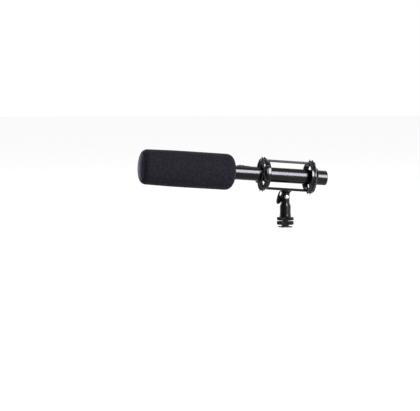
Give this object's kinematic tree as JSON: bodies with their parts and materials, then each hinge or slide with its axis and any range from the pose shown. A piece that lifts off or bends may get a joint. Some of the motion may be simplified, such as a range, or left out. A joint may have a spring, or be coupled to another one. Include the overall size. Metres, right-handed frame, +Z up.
{
  "type": "on-camera microphone",
  "caption": "Slotted-tube microphone with a foam windscreen, held by elastic bands in a hooped shock mount on a tilting, swivelling post with a shoe foot.",
  "frame": {"origin": "middle of the shoe foot's underside", "axes": "+Z up along the post, +X towards the microphone's connector end, +Y towards the lock lever's side"},
  "size_m": [0.3048, 0.0566, 0.1244],
  "materials": {
    "black_metal": "satin black anodised",
    "polished_black": "glossy black",
    "gloss_black": "glossy moulded",
    "matt_black": "matt moulded",
    "elastic": "matt rubber cord",
    "foam": "open-cell foam",
    "steel": "bright",
    "brass": "plated",
    "screen": "dark woven",
    "board": "lacquered board",
    "cell": "plain wrap",
    "lens": "dark red lens, unlit"
  },
  "bodies": {
    "foot": {"shoe_foot": "black_metal", "mount_stud": "steel"},
    "clamp_wheel_body": {"clamp_wheel": "polished_black"},
    "lock_nut_body": {"lock_nut": "polished_black"},
    "post": {"swivel_sleeve": "black_metal", "thread_insert": "brass", "yoke": "black_metal", "pivot_bolt": "steel", "lever_washer": "steel", "near_friction_washer": "matt_black", "far_friction_washer": "matt_black"},
    "lever": {"lock_lever": "matt_black", "lever_insert": "steel"},
    "cage": {"cage_bracket": "black_metal", "bottom_bar": "gloss_black", "top_bar": "gloss_black", "front_hoop": "gloss_black", "rear_hoop": "gloss_black", "bracket_screw_front": "steel", "bracket_screw_rear": "steel", "top_screw_front": "steel", "top_screw_rear": "steel", "bottom_screw_front": "steel", "bottom_screw_rear": "steel", "front_band_1": "elastic", "front_band_2": "elastic", "front_band_3": "elastic", "front_band_4": "elastic", "rear_band_1": "elastic", "rear_band_2": "elastic", "rear_band_3": "elastic", "rear_band_4": "elastic"},
    "microphone": {"body_tube": "black_metal", "interference_tube": "black_metal", "tip_cap": "black_metal", "acoustic_screen": "screen", "capsule": "brass", "capsule_ring": "elastic", "circuit_board": "board", "switch_bezel": "matt_black", "status_light": "lens", "set_screw": "steel", "inner_chassis": "matt_black", "battery": "cell", "front_contact": "steel", "rear_contact": "steel", "output_transformer": "screen", "connector_shell": "matt_black", "connector_pin_1": "brass", "connector_pin_2": "brass", "connector_pin_3": "brass"},
    "switch": {"low_cut_switch": "matt_black"},
    "sleeve": {"battery_sleeve": "black_metal"},
    "foam": {"windscreen": "foam"}
  },
  "joints": [
    {"name": "clamp_wheel_turn", "type": "hinge", "parent": "foot", "child": "clamp_wheel_body", "pos_m": [0, 0, 0.0071], "axis": [0, 0, 1], "continuous": true},
    {"name": "lock_nut_turn", "type": "hinge", "parent": "foot", "child": "lock_nut_body", "pos_m": [0, 0, 0.01375], "axis": [0, 0, 1], "continuous": true},
    {"name": "pan_swivel", "type": "hinge", "parent": "foot", "child": "post", "pos_m": [0, 0, 0.0273], "axis": [0, 0, 1], "range_deg": [-180, 180]},
    {"name": "head_tilt", "type": "hinge", "parent": "post", "child": "cage", "pos_m": [0, 0, 0.0478], "axis": [0, 1, 0], "range_deg": [-64, 56]},
    {"name": "lock_lever_turn", "type": "hinge", "parent": "post", "child": "lever", "pos_m": [0, 0.0126, 0.0478], "axis": [0, 1, 0], "range_deg": [-100, 100]},
    {"name": "microphone_slide", "type": "slide", "parent": "cage", "child": "microphone", "axis": [0.9976, 0, -0.0698], "range_m": [-0.015, 0.015]},
    {"name": "windscreen_pull", "type": "slide", "parent": "microphone", "child": "foam", "axis": [-0.9976, 0, 0.0698], "range_m": [0, 0.13]},
    {"name": "low_cut_slide", "type": "slide", "parent": "microphone", "child": "switch", "axis": [0.9976, 0, -0.0698], "range_m": [0, 0.003]},
    {"name": "battery_sleeve_pull", "type": "slide", "parent": "microphone", "child": "sleeve", "axis": [0.9976, 0, -0.0698], "range_m": [0, 0.104]}
  ]
}
